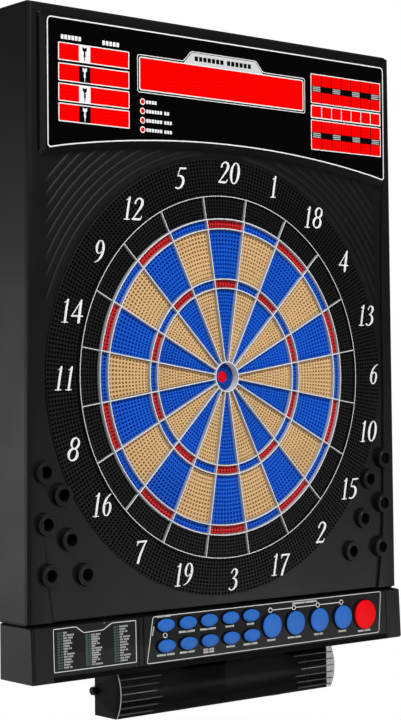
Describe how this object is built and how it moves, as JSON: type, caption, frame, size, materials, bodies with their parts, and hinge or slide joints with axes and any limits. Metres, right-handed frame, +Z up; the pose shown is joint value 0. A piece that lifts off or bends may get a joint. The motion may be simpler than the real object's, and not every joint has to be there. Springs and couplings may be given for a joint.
{
  "type": "electronic dartboard",
  "caption": "Wall-hung electronic soft-tip dartboard: perforated target in a thin spider, number ring, display pod, button bar and a dart store with a hinged smoked cover.",
  "frame": {"origin": "on the flat back of the rear cover, on the target's axis", "axes": "+Z up, +Y into the wall along the target's axis, +X to the right as a player sees the board"},
  "size_m": [0.602, 0.0723, 0.8431],
  "materials": {
    "housing_black": "fine satin moulded texture",
    "ring_black": "matte",
    "lens_black": "polished, printed from behind",
    "spider_grey": "satin",
    "key_blue": "satin",
    "key_tan": "satin",
    "key_red": "satin",
    "button_blue": "satin",
    "button_red": "satin",
    "display_red": "translucent red filter",
    "rubber_black": "matte",
    "film_amber": "smooth",
    "circuit_board": "solder mask",
    "pin_steel": "turned",
    "cover_smoke": "smoke tinted, clear"
  },
  "bodies": {
    "cabinet": {"front_housing": "housing_black", "rear_cover": "housing_black", "control_housing": "housing_black", "display_lens": "lens_black", "display_board": "circuit_board", "score_display": "display_red", "message_display": "display_red", "cricket_display": "display_red", "number_ring": "ring_black", "outfield_ring": "ring_black", "spider": "spider_grey", "rubber_mat": "rubber_black", "matrix_film": "film_amber", "backing_plate": "housing_black", "keypad_mat": "rubber_black", "keypad_board": "circuit_board", "main_board": "circuit_board", "speaker": "ring_black", "power_jack": "ring_black", "storage_bin": "housing_black", "cover_pivot_left": "pin_steel", "cover_pivot_right": "pin_steel"},
    "sector_01": {"sector_01": "key_tan"},
    "sector_02": {"sector_02": "key_blue"},
    "sector_03": {"sector_03": "key_blue"},
    "sector_04": {"sector_04": "key_tan"},
    "sector_05": {"sector_05": "key_tan"},
    "sector_06": {"sector_06": "key_tan"},
    "sector_07": {"sector_07": "key_blue"},
    "sector_08": {"sector_08": "key_blue"},
    "sector_09": {"sector_09": "key_tan"},
    "sector_10": {"sector_10": "key_blue"},
    "sector_11": {"sector_11": "key_tan"},
    "sector_12": {"sector_12": "key_blue"},
    "sector_13": {"sector_13": "key_blue"},
    "sector_14": {"sector_14": "key_blue"},
    "sector_15": {"sector_15": "key_tan"},
    "sector_16": {"sector_16": "key_tan"},
    "sector_17": {"sector_17": "key_tan"},
    "sector_18": {"sector_18": "key_blue"},
    "sector_19": {"sector_19": "key_tan"},
    "sector_20": {"sector_20": "key_blue"},
    "outer_bull": {"outer_bull": "key_blue"},
    "inner_bull": {"inner_bull": "key_red"},
    "option_button_01": {"option_button_01": "button_blue"},
    "option_button_02": {"option_button_02": "button_blue"},
    "option_button_03": {"option_button_03": "button_blue"},
    "option_button_04": {"option_button_04": "button_blue"},
    "option_button_05": {"option_button_05": "button_blue"},
    "option_button_06": {"option_button_06": "button_blue"},
    "option_button_07": {"option_button_07": "button_blue"},
    "option_button_08": {"option_button_08": "button_blue"},
    "option_button_09": {"option_button_09": "button_blue"},
    "option_button_10": {"option_button_10": "button_blue"},
    "game_button_1": {"game_button_1": "button_blue"},
    "game_button_2": {"game_button_2": "button_blue"},
    "game_button_3": {"game_button_3": "button_blue"},
    "game_button_4": {"game_button_4": "button_blue"},
    "start_button": {"start_button": "button_red"},
    "storage_cover": {"storage_cover": "cover_smoke"}
  },
  "joints": [
    {"name": "sector_01_press", "type": "slide", "parent": "cabinet", "child": "sector_01", "axis": [0, 1, 0], "range_m": [0, 0.0015], "stiffness_N_per_m": 600},
    {"name": "sector_02_press", "type": "slide", "parent": "cabinet", "child": "sector_02", "axis": [0, 1, 0], "range_m": [0, 0.0015], "stiffness_N_per_m": 600},
    {"name": "sector_03_press", "type": "slide", "parent": "cabinet", "child": "sector_03", "axis": [0, 1, 0], "range_m": [0, 0.0015], "stiffness_N_per_m": 600},
    {"name": "sector_04_press", "type": "slide", "parent": "cabinet", "child": "sector_04", "axis": [0, 1, 0], "range_m": [0, 0.0015], "stiffness_N_per_m": 600},
    {"name": "sector_05_press", "type": "slide", "parent": "cabinet", "child": "sector_05", "axis": [0, 1, 0], "range_m": [0, 0.0015], "stiffness_N_per_m": 600},
    {"name": "sector_06_press", "type": "slide", "parent": "cabinet", "child": "sector_06", "axis": [0, 1, 0], "range_m": [0, 0.0015], "stiffness_N_per_m": 600},
    {"name": "sector_07_press", "type": "slide", "parent": "cabinet", "child": "sector_07", "axis": [0, 1, 0], "range_m": [0, 0.0015], "stiffness_N_per_m": 600},
    {"name": "sector_08_press", "type": "slide", "parent": "cabinet", "child": "sector_08", "axis": [0, 1, 0], "range_m": [0, 0.0015], "stiffness_N_per_m": 600},
    {"name": "sector_09_press", "type": "slide", "parent": "cabinet", "child": "sector_09", "axis": [0, 1, 0], "range_m": [0, 0.0015], "stiffness_N_per_m": 600},
    {"name": "sector_10_press", "type": "slide", "parent": "cabinet", "child": "sector_10", "axis": [0, 1, 0], "range_m": [0, 0.0015], "stiffness_N_per_m": 600},
    {"name": "sector_11_press", "type": "slide", "parent": "cabinet", "child": "sector_11", "axis": [0, 1, 0], "range_m": [0, 0.0015], "stiffness_N_per_m": 600},
    {"name": "sector_12_press", "type": "slide", "parent": "cabinet", "child": "sector_12", "axis": [0, 1, 0], "range_m": [0, 0.0015], "stiffness_N_per_m": 600},
    {"name": "sector_13_press", "type": "slide", "parent": "cabinet", "child": "sector_13", "axis": [0, 1, 0], "range_m": [0, 0.0015], "stiffness_N_per_m": 600},
    {"name": "sector_14_press", "type": "slide", "parent": "cabinet", "child": "sector_14", "axis": [0, 1, 0], "range_m": [0, 0.0015], "stiffness_N_per_m": 600},
    {"name": "sector_15_press", "type": "slide", "parent": "cabinet", "child": "sector_15", "axis": [0, 1, 0], "range_m": [0, 0.0015], "stiffness_N_per_m": 600},
    {"name": "sector_16_press", "type": "slide", "parent": "cabinet", "child": "sector_16", "axis": [0, 1, 0], "range_m": [0, 0.0015], "stiffness_N_per_m": 600},
    {"name": "sector_17_press", "type": "slide", "parent": "cabinet", "child": "sector_17", "axis": [0, 1, 0], "range_m": [0, 0.0015], "stiffness_N_per_m": 600},
    {"name": "sector_18_press", "type": "slide", "parent": "cabinet", "child": "sector_18", "axis": [0, 1, 0], "range_m": [0, 0.0015], "stiffness_N_per_m": 600},
    {"name": "sector_19_press", "type": "slide", "parent": "cabinet", "child": "sector_19", "axis": [0, 1, 0], "range_m": [0, 0.0015], "stiffness_N_per_m": 600},
    {"name": "sector_20_press", "type": "slide", "parent": "cabinet", "child": "sector_20", "axis": [0, 1, 0], "range_m": [0, 0.0015], "stiffness_N_per_m": 600},
    {"name": "outer_bull_press", "type": "slide", "parent": "cabinet", "child": "outer_bull", "axis": [0, 1, 0], "range_m": [0, 0.0015], "stiffness_N_per_m": 600},
    {"name": "inner_bull_press", "type": "slide", "parent": "cabinet", "child": "inner_bull", "axis": [0, 1, 0], "range_m": [0, 0.0015], "stiffness_N_per_m": 600},
    {"name": "option_button_01_press", "type": "slide", "parent": "cabinet", "child": "option_button_01", "axis": [0, 1, 0], "range_m": [0, 0.002], "stiffness_N_per_m": 500},
    {"name": "option_button_02_press", "type": "slide", "parent": "cabinet", "child": "option_button_02", "axis": [0, 1, 0], "range_m": [0, 0.002], "stiffness_N_per_m": 500},
    {"name": "option_button_03_press", "type": "slide", "parent": "cabinet", "child": "option_button_03", "axis": [0, 1, 0], "range_m": [0, 0.002], "stiffness_N_per_m": 500},
    {"name": "option_button_04_press", "type": "slide", "parent": "cabinet", "child": "option_button_04", "axis": [0, 1, 0], "range_m": [0, 0.002], "stiffness_N_per_m": 500},
    {"name": "option_button_05_press", "type": "slide", "parent": "cabinet", "child": "option_button_05", "axis": [0, 1, 0], "range_m": [0, 0.002], "stiffness_N_per_m": 500},
    {"name": "option_button_06_press", "type": "slide", "parent": "cabinet", "child": "option_button_06", "axis": [0, 1, 0], "range_m": [0, 0.002], "stiffness_N_per_m": 500},
    {"name": "option_button_07_press", "type": "slide", "parent": "cabinet", "child": "option_button_07", "axis": [0, 1, 0], "range_m": [0, 0.002], "stiffness_N_per_m": 500},
    {"name": "option_button_08_press", "type": "slide", "parent": "cabinet", "child": "option_button_08", "axis": [0, 1, 0], "range_m": [0, 0.002], "stiffness_N_per_m": 500},
    {"name": "option_button_09_press", "type": "slide", "parent": "cabinet", "child": "option_button_09", "axis": [0, 1, 0], "range_m": [0, 0.002], "stiffness_N_per_m": 500},
    {"name": "option_button_10_press", "type": "slide", "parent": "cabinet", "child": "option_button_10", "axis": [0, 1, 0], "range_m": [0, 0.002], "stiffness_N_per_m": 500},
    {"name": "game_button_1_press", "type": "slide", "parent": "cabinet", "child": "game_button_1", "axis": [0, 1, 0], "range_m": [0, 0.002], "stiffness_N_per_m": 500},
    {"name": "game_button_2_press", "type": "slide", "parent": "cabinet", "child": "game_button_2", "axis": [0, 1, 0], "range_m": [0, 0.002], "stiffness_N_per_m": 500},
    {"name": "game_button_3_press", "type": "slide", "parent": "cabinet", "child": "game_button_3", "axis": [0, 1, 0], "range_m": [0, 0.002], "stiffness_N_per_m": 500},
    {"name": "game_button_4_press", "type": "slide", "parent": "cabinet", "child": "game_button_4", "axis": [0, 1, 0], "range_m": [0, 0.002], "stiffness_N_per_m": 500},
    {"name": "start_button_press", "type": "slide", "parent": "cabinet", "child": "start_button", "axis": [0, 1, 0], "range_m": [0, 0.002], "stiffness_N_per_m": 500},
    {"name": "cover_swing", "type": "hinge", "parent": "cabinet", "child": "storage_cover", "pos_m": [0, -0.0149, -0.3778], "axis": [1, 0, 0], "range_deg": [0, 75]}
  ]
}
